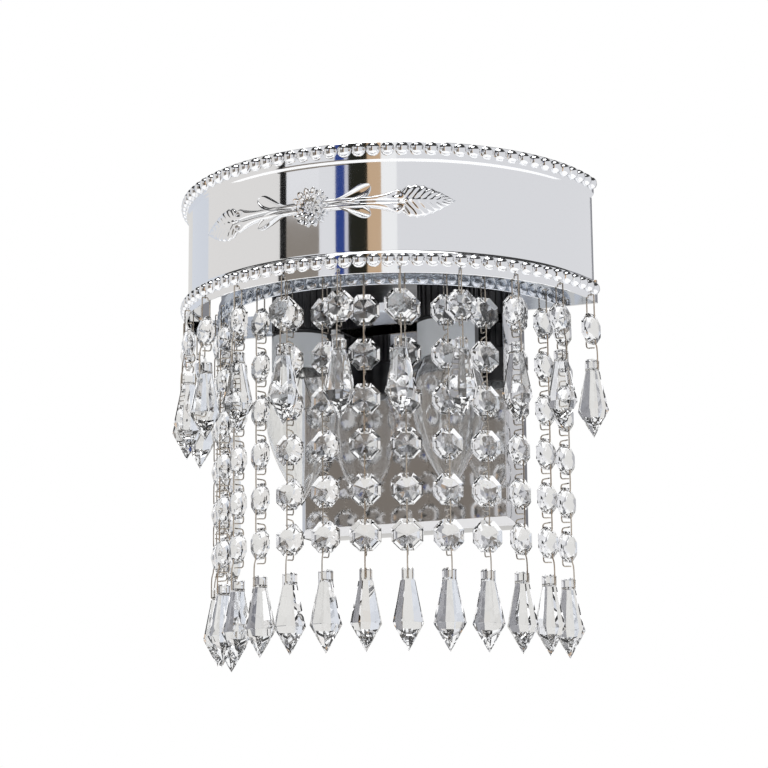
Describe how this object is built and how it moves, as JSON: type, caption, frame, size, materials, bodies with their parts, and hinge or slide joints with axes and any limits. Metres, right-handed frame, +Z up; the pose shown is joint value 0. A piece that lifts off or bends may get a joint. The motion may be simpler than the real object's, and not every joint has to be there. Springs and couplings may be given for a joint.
{
  "type": "wall light",
  "caption": "Half-round chromed wall light with a beaded band, swinging strands of clear crystals on two levels and two candle bulbs behind them.",
  "frame": {"origin": "on the wall plane, midway between the two wall screws behind the back plate's centre", "axes": "+Z up, +Y into the wall, +X along the wall to the right of someone who faces the lamp; the front faces -Y"},
  "size_m": [0.2172, 0.1344, 0.2257],
  "materials": {
    "polished_chrome": "mirror polished",
    "zinc_steel": "zinc plated",
    "link_wire": "bright drawn wire",
    "terminal_plastic": "matt",
    "black_bakelite": "semi-gloss",
    "clear_glass": "clear",
    "crystal": "clear, cut and polished",
    "cap_metal": "satin"
  },
  "bodies": {
    "lamp_body": {"wall_bracket": "zinc_steel", "back_plate": "polished_chrome", "side_screws": "zinc_steel", "terminal_block": "terminal_plastic", "cross_strip": "polished_chrome", "outer_band": "polished_chrome", "band_pearls": "polished_chrome", "inner_ring": "polished_chrome", "ring_pearls": "polished_chrome", "flower_ornament": "polished_chrome", "lamp_bracket": "zinc_steel", "holder_nuts": "zinc_steel", "lamp_holder_left": "black_bakelite", "lamp_holder_right": "black_bakelite"},
    "bulb_left": {"bulb_glass_left": "clear_glass", "bulb_base_left": "cap_metal"},
    "bulb_right": {"bulb_glass_right": "clear_glass", "bulb_base_right": "cap_metal"},
    "short_strand_01": {"short_strand_01": "crystal"},
    "short_strand_02": {"short_strand_02": "crystal"},
    "short_strand_03": {"short_strand_03": "crystal"},
    "short_strand_04": {"short_strand_04": "crystal"},
    "short_strand_05": {"short_strand_05": "crystal"},
    "short_strand_06": {"short_strand_06": "crystal"},
    "short_strand_07": {"short_strand_07": "crystal"},
    "short_strand_08": {"short_strand_08": "crystal"},
    "short_strand_09": {"short_strand_09": "crystal"},
    "short_strand_10": {"short_strand_10": "crystal"},
    "short_strand_11": {"short_strand_11": "crystal"},
    "short_strand_12": {"short_strand_12": "crystal"},
    "long_strand_01": {"long_strand_01_crystals": "crystal", "long_strand_01_links": "link_wire"},
    "long_strand_02": {"long_strand_02_crystals": "crystal", "long_strand_02_links": "link_wire"},
    "long_strand_03": {"long_strand_03_crystals": "crystal", "long_strand_03_links": "link_wire"},
    "long_strand_04": {"long_strand_04_crystals": "crystal", "long_strand_04_links": "link_wire"},
    "long_strand_05": {"long_strand_05_crystals": "crystal", "long_strand_05_links": "link_wire"},
    "long_strand_06": {"long_strand_06_crystals": "crystal", "long_strand_06_links": "link_wire"},
    "long_strand_07": {"long_strand_07_crystals": "crystal", "long_strand_07_links": "link_wire"},
    "long_strand_08": {"long_strand_08_crystals": "crystal", "long_strand_08_links": "link_wire"},
    "long_strand_09": {"long_strand_09_crystals": "crystal", "long_strand_09_links": "link_wire"},
    "long_strand_10": {"long_strand_10_crystals": "crystal", "long_strand_10_links": "link_wire"},
    "long_strand_11": {"long_strand_11_crystals": "crystal", "long_strand_11_links": "link_wire"},
    "long_strand_12": {"long_strand_12_crystals": "crystal", "long_strand_12_links": "link_wire"},
    "long_strand_13": {"long_strand_13_crystals": "crystal", "long_strand_13_links": "link_wire"},
    "long_strand_14": {"long_strand_14_crystals": "crystal", "long_strand_14_links": "link_wire"},
    "long_strand_15": {"long_strand_15_crystals": "crystal", "long_strand_15_links": "link_wire"}
  },
  "joints": [
    {"name": "bulb_left_out", "type": "slide", "parent": "lamp_body", "child": "bulb_left", "axis": [0, 0, -1], "range_m": [0, 0.028]},
    {"name": "bulb_right_out", "type": "slide", "parent": "lamp_body", "child": "bulb_right", "axis": [0, 0, -1], "range_m": [0, 0.028]},
    {"name": "short_strand_01_swing", "type": "hinge", "parent": "lamp_body", "child": "short_strand_01", "pos_m": [0.10139, -0.03716, 0.02718], "axis": [-0.1045, -0.9945, 0], "range_deg": [-2, 20]},
    {"name": "short_strand_02_swing", "type": "hinge", "parent": "lamp_body", "child": "short_strand_02", "pos_m": [0.095, -0.06349, 0.02718], "axis": [-0.3628, -0.9319, 0], "range_deg": [-2, 20]},
    {"name": "short_strand_03_swing", "type": "hinge", "parent": "lamp_body", "child": "short_strand_03", "pos_m": [0.08191, -0.08721, 0.02718], "axis": [-0.5955, -0.8034, 0], "range_deg": [-2, 20]},
    {"name": "short_strand_04_swing", "type": "hinge", "parent": "lamp_body", "child": "short_strand_04", "pos_m": [0.06302, -0.10664, 0.02718], "axis": [-0.7861, -0.6182, 0], "range_deg": [-2, 20]},
    {"name": "short_strand_05_swing", "type": "hinge", "parent": "lamp_body", "child": "short_strand_05", "pos_m": [0.03969, -0.12041, 0.02718], "axis": [-0.9211, -0.3893, 0], "range_deg": [-2, 20]},
    {"name": "short_strand_06_swing", "type": "hinge", "parent": "lamp_body", "child": "short_strand_06", "pos_m": [0.01355, -0.12755, 0.02718], "axis": [-0.9911, -0.1329, 0], "range_deg": [-2, 20]},
    {"name": "short_strand_07_swing", "type": "hinge", "parent": "lamp_body", "child": "short_strand_07", "pos_m": [-0.01355, -0.12755, 0.02718], "axis": [-0.9911, 0.1329, 0], "range_deg": [-2, 20]},
    {"name": "short_strand_08_swing", "type": "hinge", "parent": "lamp_body", "child": "short_strand_08", "pos_m": [-0.03969, -0.12041, 0.02718], "axis": [-0.9211, 0.3893, 0], "range_deg": [-2, 20]},
    {"name": "short_strand_09_swing", "type": "hinge", "parent": "lamp_body", "child": "short_strand_09", "pos_m": [-0.06302, -0.10664, 0.02718], "axis": [-0.7861, 0.6182, 0], "range_deg": [-2, 20]},
    {"name": "short_strand_10_swing", "type": "hinge", "parent": "lamp_body", "child": "short_strand_10", "pos_m": [-0.08191, -0.08721, 0.02718], "axis": [-0.5955, 0.8034, 0], "range_deg": [-2, 20]},
    {"name": "short_strand_11_swing", "type": "hinge", "parent": "lamp_body", "child": "short_strand_11", "pos_m": [-0.095, -0.06349, 0.02718], "axis": [-0.3628, 0.9319, 0], "range_deg": [-2, 20]},
    {"name": "short_strand_12_swing", "type": "hinge", "parent": "lamp_body", "child": "short_strand_12", "pos_m": [-0.10139, -0.03716, 0.02718], "axis": [-0.1045, 0.9945, 0], "range_deg": [-2, 20]},
    {"name": "long_strand_01_swing", "type": "hinge", "parent": "lamp_body", "child": "long_strand_01", "pos_m": [0.08584, -0.0325, 0.02857], "axis": [-0.0698, -0.9976, 0], "range_deg": [-5, 2]},
    {"name": "long_strand_02_swing", "type": "hinge", "parent": "lamp_body", "child": "long_strand_02", "pos_m": [0.0826, -0.05063, 0.02857], "axis": [-0.2804, -0.9599, 0], "range_deg": [-5, 2]},
    {"name": "long_strand_03_swing", "type": "hinge", "parent": "lamp_body", "child": "long_strand_03", "pos_m": [0.07557, -0.06765, 0.02857], "axis": [-0.4783, -0.8782, 0], "range_deg": [-5, 2]},
    {"name": "long_strand_04_swing", "type": "hinge", "parent": "lamp_body", "child": "long_strand_04", "pos_m": [0.06508, -0.08279, 0.02857], "axis": [-0.6542, -0.7563, 0], "range_deg": [-5, 2]},
    {"name": "long_strand_05_swing", "type": "hinge", "parent": "lamp_body", "child": "long_strand_05", "pos_m": [0.05162, -0.09535, 0.02857], "axis": [-0.8001, -0.5998, 0], "range_deg": [-5, 2]},
    {"name": "long_strand_06_swing", "type": "hinge", "parent": "lamp_body", "child": "long_strand_06", "pos_m": [0.03578, -0.10476, 0.02857], "axis": [-0.9094, -0.4158, 0], "range_deg": [-5, 2]},
    {"name": "long_strand_07_swing", "type": "hinge", "parent": "lamp_body", "child": "long_strand_07", "pos_m": [0.01831, -0.11058, 0.02857], "axis": [-0.9771, -0.2128, 0], "range_deg": [-5, 2]},
    {"name": "long_strand_08_swing", "type": "hinge", "parent": "lamp_body", "child": "long_strand_08", "pos_m": [0, -0.11255, 0.02857], "axis": [-1, 0, 0], "range_deg": [-5, 2]},
    {"name": "long_strand_09_swing", "type": "hinge", "parent": "lamp_body", "child": "long_strand_09", "pos_m": [-0.01831, -0.11058, 0.02857], "axis": [-0.9771, 0.2128, 0], "range_deg": [-5, 2]},
    {"name": "long_strand_10_swing", "type": "hinge", "parent": "lamp_body", "child": "long_strand_10", "pos_m": [-0.03578, -0.10476, 0.02857], "axis": [-0.9094, 0.4158, 0], "range_deg": [-5, 2]},
    {"name": "long_strand_11_swing", "type": "hinge", "parent": "lamp_body", "child": "long_strand_11", "pos_m": [-0.05162, -0.09535, 0.02857], "axis": [-0.8001, 0.5998, 0], "range_deg": [-5, 2]},
    {"name": "long_strand_12_swing", "type": "hinge", "parent": "lamp_body", "child": "long_strand_12", "pos_m": [-0.06508, -0.08279, 0.02857], "axis": [-0.6542, 0.7563, 0], "range_deg": [-5, 2]},
    {"name": "long_strand_13_swing", "type": "hinge", "parent": "lamp_body", "child": "long_strand_13", "pos_m": [-0.07557, -0.06765, 0.02857], "axis": [-0.4783, 0.8782, 0], "range_deg": [-5, 2]},
    {"name": "long_strand_14_swing", "type": "hinge", "parent": "lamp_body", "child": "long_strand_14", "pos_m": [-0.0826, -0.05063, 0.02857], "axis": [-0.2804, 0.9599, 0], "range_deg": [-5, 2]},
    {"name": "long_strand_15_swing", "type": "hinge", "parent": "lamp_body", "child": "long_strand_15", "pos_m": [-0.08584, -0.0325, 0.02857], "axis": [-0.0698, 0.9976, 0], "range_deg": [-5, 2]}
  ]
}
